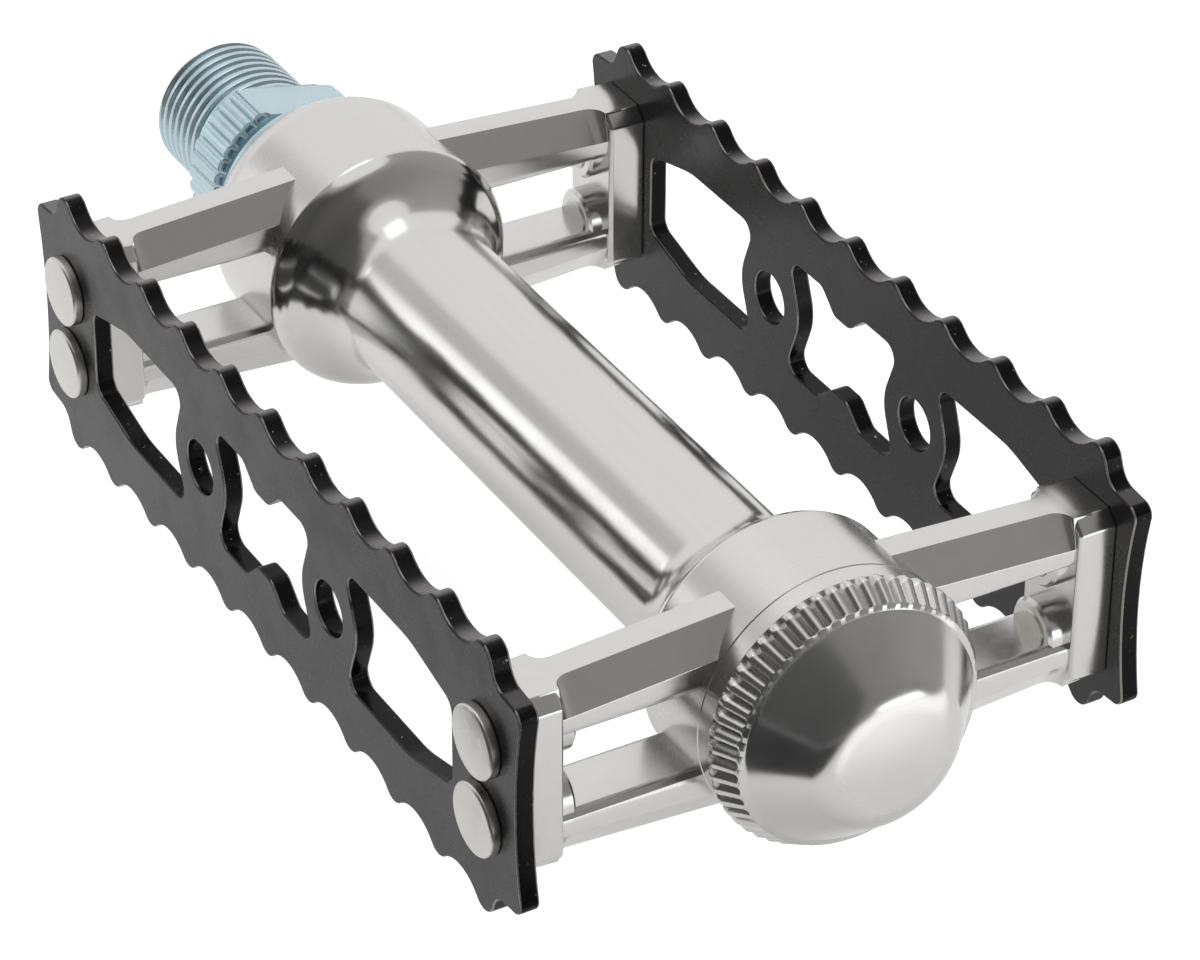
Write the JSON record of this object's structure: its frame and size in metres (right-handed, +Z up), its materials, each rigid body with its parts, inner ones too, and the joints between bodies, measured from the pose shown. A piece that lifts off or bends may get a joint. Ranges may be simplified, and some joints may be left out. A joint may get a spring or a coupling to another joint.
{
  "type": "cage pedal",
  "caption": "Cage pedal: a slim alloy tube body carries toothed side plates riveted to its arms and spins on loose-ball bearings round a threaded spindle, closed by a knurled dust cap.",
  "frame": {"origin": "on the spindle axis at the crank seat, where the wrench collar meets the crank", "axes": "+X outboard along the spindle, +Y forward, +Z up"},
  "size_m": [0.1284, 0.0646, 0.0276],
  "materials": {
    "zinc_steel": "bright zinc plate with a cool tint",
    "bearing_steel": "ground and hardened",
    "satin_aluminium": "satin, polished on the shoulders and the tube",
    "polished_cap": "polished",
    "black_plate": "satin black, bright along the stamped edges",
    "rivet_steel": "bright nickel plate"
  },
  "bodies": {
    "spindle": {"spindle": "zinc_steel", "outboard_cone": "bearing_steel", "lock_washer": "zinc_steel", "lock_nut": "zinc_steel"},
    "platform": {"pedal_body": "satin_aluminium", "front_cage_plate": "black_plate", "rear_cage_plate": "black_plate", "front_cage_rivets": "rivet_steel", "rear_cage_rivets": "rivet_steel", "inboard_cup": "bearing_steel", "outboard_cup": "bearing_steel", "dust_cap": "polished_cap"},
    "inboard_balls": {"inboard_ball_01": "bearing_steel", "inboard_ball_02": "bearing_steel", "inboard_ball_03": "bearing_steel", "inboard_ball_04": "bearing_steel", "inboard_ball_05": "bearing_steel", "inboard_ball_06": "bearing_steel", "inboard_ball_07": "bearing_steel", "inboard_ball_08": "bearing_steel", "inboard_ball_09": "bearing_steel", "inboard_ball_10": "bearing_steel", "inboard_ball_11": "bearing_steel"},
    "outboard_balls": {"outboard_ball_01": "bearing_steel", "outboard_ball_02": "bearing_steel", "outboard_ball_03": "bearing_steel", "outboard_ball_04": "bearing_steel", "outboard_ball_05": "bearing_steel", "outboard_ball_06": "bearing_steel", "outboard_ball_07": "bearing_steel", "outboard_ball_08": "bearing_steel", "outboard_ball_09": "bearing_steel", "outboard_ball_10": "bearing_steel", "outboard_ball_11": "bearing_steel"}
  },
  "joints": [
    {"name": "platform_spin", "type": "hinge", "parent": "spindle", "child": "platform", "pos_m": [0.0606, 0, 0], "axis": [1, 0, 0], "continuous": true},
    {"name": "inboard_ball_roll", "type": "hinge", "parent": "spindle", "child": "inboard_balls", "pos_m": [0.015, 0, 0], "axis": [1, 0, 0], "continuous": true},
    {"name": "outboard_ball_roll", "type": "hinge", "parent": "spindle", "child": "outboard_balls", "pos_m": [0.0985, 0, 0], "axis": [1, 0, 0], "continuous": true}
  ],
  "couplings": [
    {"joint": "inboard_ball_roll", "follows": "platform_spin", "ratio": 0.5974},
    {"joint": "outboard_ball_roll", "follows": "platform_spin", "ratio": 0.5974}
  ]
}
